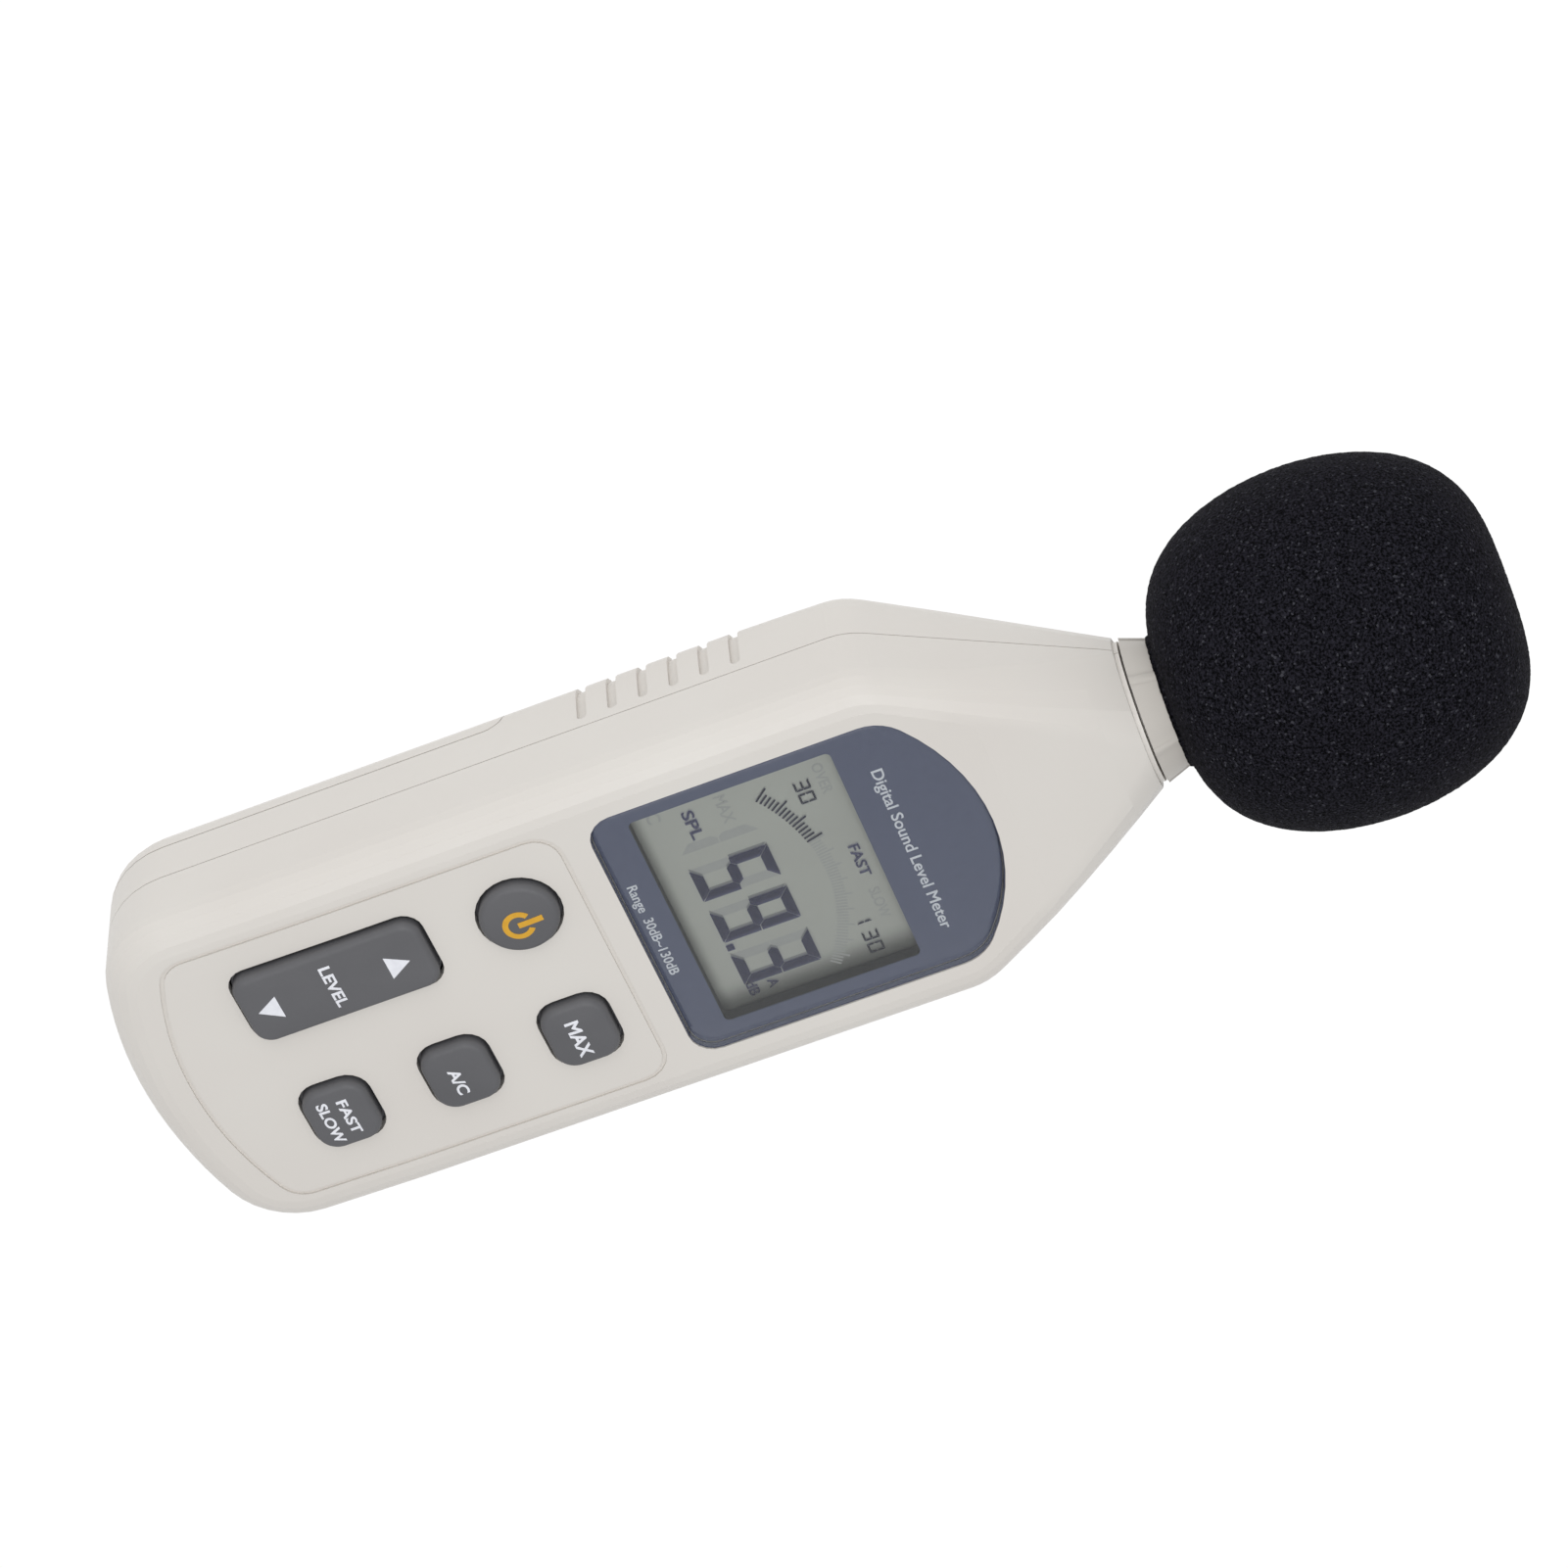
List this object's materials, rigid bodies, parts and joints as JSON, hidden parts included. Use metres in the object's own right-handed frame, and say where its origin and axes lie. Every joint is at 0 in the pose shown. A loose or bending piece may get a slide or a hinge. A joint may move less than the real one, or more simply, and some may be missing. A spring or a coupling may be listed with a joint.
{
  "type": "sound level meter",
  "caption": "Hand-held sound level meter: tapered two-part plastic case, display under a clear arched lens, rubber keys, rear battery cover and a foam windscreen over the microphone.",
  "frame": {"origin": "middle of the flat back face of the case, on the line halfway between the bottom end and the neck", "axes": "+X towards the meter's right side seen from the display, +Y along the case towards the microphone, +Z out of the display"},
  "size_m": [0.068, 0.2428, 0.0606],
  "materials": {
    "shell": "fine spark-eroded moulding texture",
    "key_rubber": "matte silicone",
    "lens": "clear polished",
    "mask_ink": "flat screen-printed ink",
    "lcd": "satin grey-green polariser",
    "white_plastic": "satin",
    "black_rubber": "matte",
    "board": "solder mask",
    "chip": "matte",
    "steel": "plated",
    "brass": "turned",
    "aluminium": "satin anodised",
    "battery_jacket": "printed foil jacket",
    "red_wire": "extruded insulation",
    "foam": "open-cell foam",
    "label": "satin printed film"
  },
  "bodies": {
    "case": {"front_shell": "shell", "rear_shell": "shell", "display_lens": "lens", "display_mask": "mask_ink", "lcd_glass": "lcd", "lcd_holder": "white_plastic", "lcd_zebra_strip": "black_rubber", "main_board": "board", "keypad_mat": "key_rubber", "processor_chip": "chip", "amplifier_chip": "chip", "crystal_can": "steel", "filter_capacitor": "steel", "calibration_trimmer": "chip", "battery_9v": "battery_jacket", "battery_snap": "black_rubber", "battery_lead_red": "red_wire", "battery_lead_black": "black_rubber", "case_screw_1": "steel", "case_screw_2": "steel", "case_screw_3": "steel", "case_screw_4": "steel", "tripod_insert": "brass", "mic_collar": "shell", "mic_barrel": "aluminium", "mic_grille": "aluminium", "mic_capsule": "brass", "preamp_board": "board", "mic_seal": "black_rubber", "mic_lead": "black_rubber"},
    "power_key": {"power_key": "key_rubber"},
    "level_key": {"level_key": "key_rubber"},
    "max_key": {"max_key": "key_rubber"},
    "weighting_key": {"weighting_key": "key_rubber"},
    "response_key": {"response_key": "key_rubber"},
    "battery_door": {"battery_cover": "shell", "battery_pad": "foam", "rear_label": "label"},
    "windscreen": {"windscreen": "foam"}
  },
  "joints": [
    {"name": "power_press", "type": "slide", "parent": "case", "child": "power_key", "axis": [0, 0, -1], "range_m": [0, 0.0012], "stiffness_N_per_m": 900},
    {"name": "level_rock", "type": "hinge", "parent": "case", "child": "level_key", "pos_m": [-0.01395, -0.0486, 0.0284], "axis": [1, 0, 0], "range_deg": [-3, 3], "stiffness_Nm_per_rad": 0.4},
    {"name": "max_press", "type": "slide", "parent": "case", "child": "max_key", "axis": [0, 0, -1], "range_m": [0, 0.0012], "stiffness_N_per_m": 900},
    {"name": "weighting_press", "type": "slide", "parent": "case", "child": "weighting_key", "axis": [0, 0, -1], "range_m": [0, 0.0012], "stiffness_N_per_m": 900},
    {"name": "response_press", "type": "slide", "parent": "case", "child": "response_key", "axis": [0, 0, -1], "range_m": [0, 0.0012], "stiffness_N_per_m": 900},
    {"name": "battery_door_slide", "type": "slide", "parent": "case", "child": "battery_door", "axis": [0, -1, 0], "range_m": [0, 0.085]},
    {"name": "windscreen_pull", "type": "slide", "parent": "case", "child": "windscreen", "axis": [0, 1, 0], "range_m": [0, 0.04]}
  ]
}
